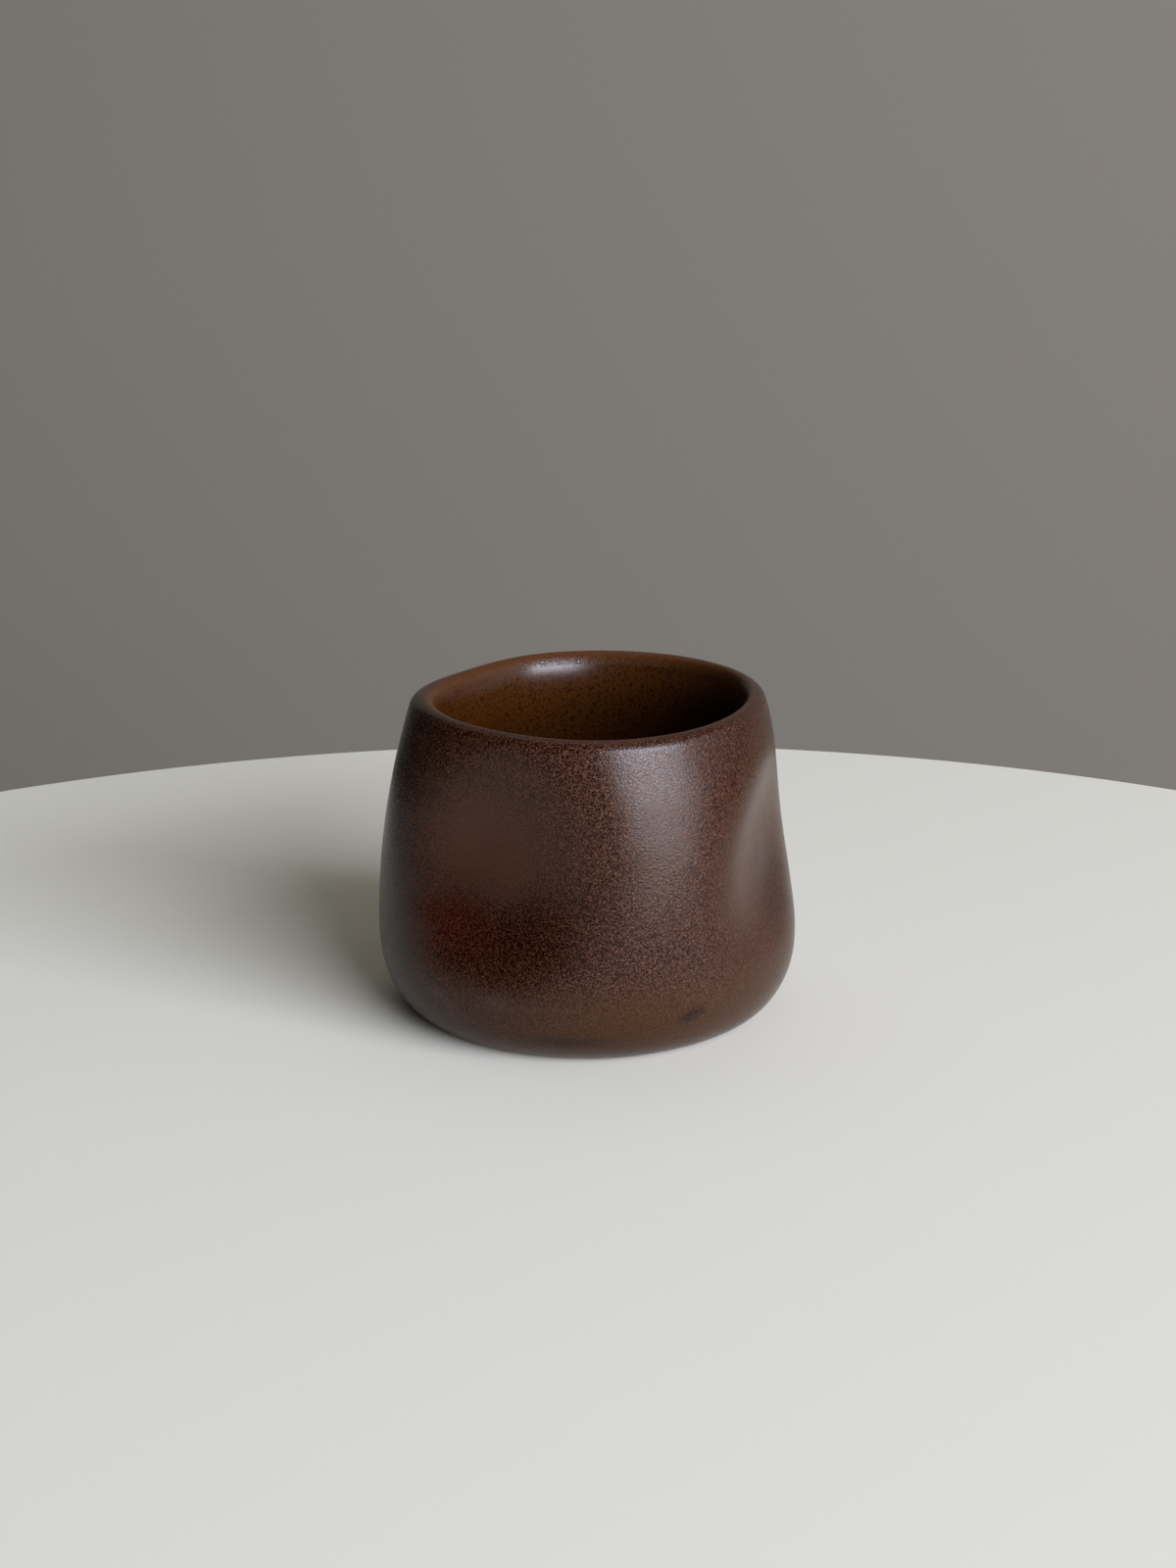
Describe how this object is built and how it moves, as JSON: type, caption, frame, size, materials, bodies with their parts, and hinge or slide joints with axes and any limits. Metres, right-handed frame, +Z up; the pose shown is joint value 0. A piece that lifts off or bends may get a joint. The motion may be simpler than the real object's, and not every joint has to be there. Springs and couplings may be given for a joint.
{
  "type": "dented stoneware cup",
  "caption": "Small handleless stoneware cup with a rounded base, thick round lip and soft finger dents pressed into its wall, glazed inside and out.",
  "frame": {"origin": "on the table under the middle of the cup, at the centre of the foot ring", "axes": "+Z up along the cup's axis, -Y towards the front as pictured, +X to the right of that view"},
  "size_m": [0.0867, 0.087, 0.0667],
  "materials": {
    "bare_clay": "fired stoneware, bare and slightly gritty, seen only on the foot",
    "iron_glaze": "satin iron brown glaze with a fine broken mottle of tan red over dark maroon",
    "liner_glaze": "glossy amber brown liner glaze with fine dark specks"
  },
  "bodies": {
    "root": {"clay_body": "bare_clay", "outer_glaze": "iron_glaze", "liner_glaze": "liner_glaze"}
  },
  "joints": []
}
